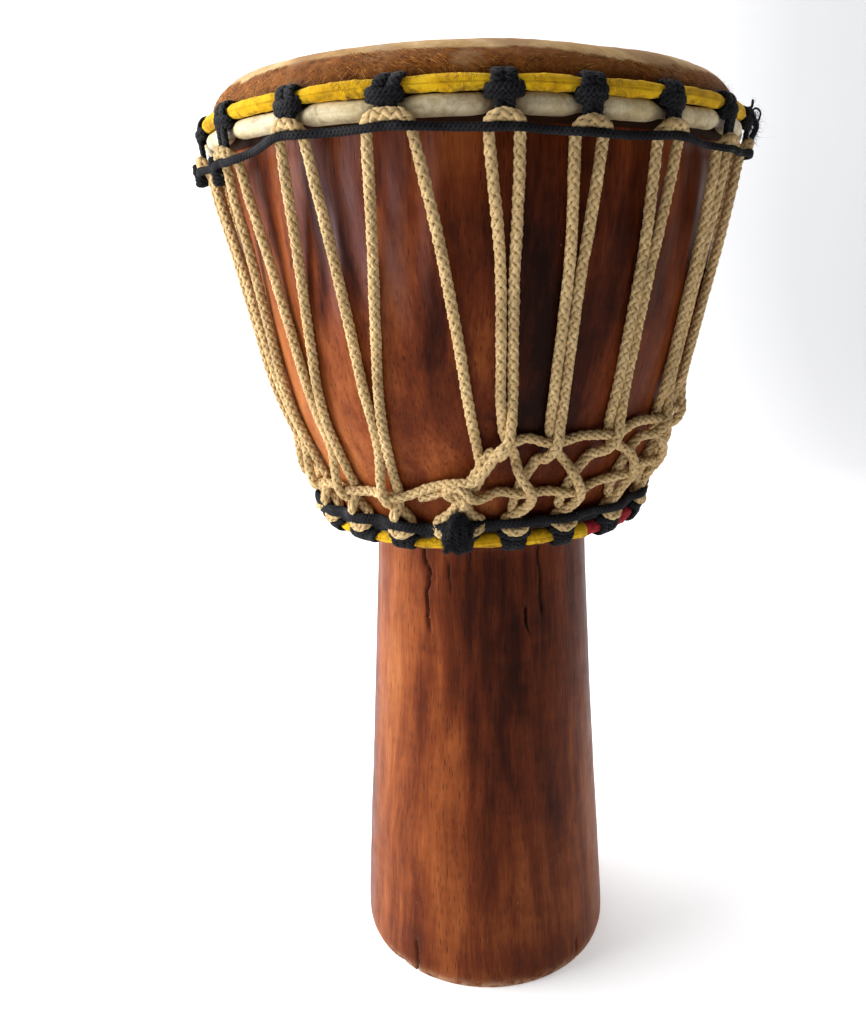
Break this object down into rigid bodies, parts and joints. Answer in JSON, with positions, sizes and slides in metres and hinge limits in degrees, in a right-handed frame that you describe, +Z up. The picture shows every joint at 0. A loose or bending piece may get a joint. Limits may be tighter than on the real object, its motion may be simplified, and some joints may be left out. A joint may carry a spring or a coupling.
{
  "type": "djembe goblet drum",
  "caption": "Goblet-shaped hand drum: carved wooden shell, goatskin head folded over a hoop, and rope lacing pulled tight between cloth-wrapped rings.",
  "frame": {"origin": "centre of the foot's flat underside, on the surface the drum stands on", "axes": "+Z up the drum's axis from the foot to the playing skin; -Y is the front, where the single weave row meets the double one; +X to the right seen from the front"},
  "size_m": [0.3566, 0.3555, 0.622],
  "materials": {
    "wood": "oiled carved hardwood, satin",
    "skin": "raw goatskin, hair left on outside the bearing edge",
    "steel": "plain round bar, dull",
    "yellow_cloth": "worn cotton strip, matte",
    "red_cloth": "worn cotton strip, matte",
    "black_cord": "braided cord, matte",
    "hemp_rope": "natural braided rope, matte and hairy"
  },
  "bodies": {
    "root": {"shell": "wood", "drumhead_skin": "skin", "flesh_ring": "steel", "crown_ring": "steel", "bottom_ring": "steel", "crown_wrap_yellow": "yellow_cloth", "crown_wrap_red": "red_cloth", "bottom_wrap_yellow": "yellow_cloth", "bottom_wrap_red": "red_cloth", "lacing_rope": "hemp_rope", "weave_rope": "hemp_rope", "crown_cord": "black_cord", "bottom_cord": "black_cord", "bottom_cord_knot": "black_cord", "crown_cord_tassel": "black_cord", "crown_loop_01": "black_cord", "crown_loop_02": "black_cord", "crown_loop_03": "black_cord", "crown_loop_04": "black_cord", "crown_loop_05": "black_cord", "crown_loop_06": "black_cord", "crown_loop_07": "black_cord", "crown_loop_08": "black_cord", "crown_loop_09": "black_cord", "crown_loop_10": "black_cord", "crown_loop_11": "black_cord", "crown_loop_12": "black_cord", "crown_loop_13": "black_cord", "crown_loop_14": "black_cord", "crown_loop_15": "black_cord", "crown_loop_16": "black_cord", "crown_loop_17": "black_cord", "crown_loop_18": "black_cord", "crown_loop_19": "black_cord", "crown_loop_20": "black_cord", "bottom_loop_01": "black_cord", "bottom_loop_02": "black_cord", "bottom_loop_03": "black_cord", "bottom_loop_04": "black_cord", "bottom_loop_05": "black_cord", "bottom_loop_06": "black_cord", "bottom_loop_07": "black_cord", "bottom_loop_08": "black_cord", "bottom_loop_09": "black_cord", "bottom_loop_10": "black_cord", "bottom_loop_11": "black_cord", "bottom_loop_12": "black_cord", "bottom_loop_13": "black_cord", "bottom_loop_14": "black_cord", "bottom_loop_15": "black_cord", "bottom_loop_16": "black_cord", "bottom_loop_17": "black_cord", "bottom_loop_18": "black_cord", "bottom_loop_19": "black_cord", "bottom_loop_20": "black_cord"}
  },
  "joints": []
}
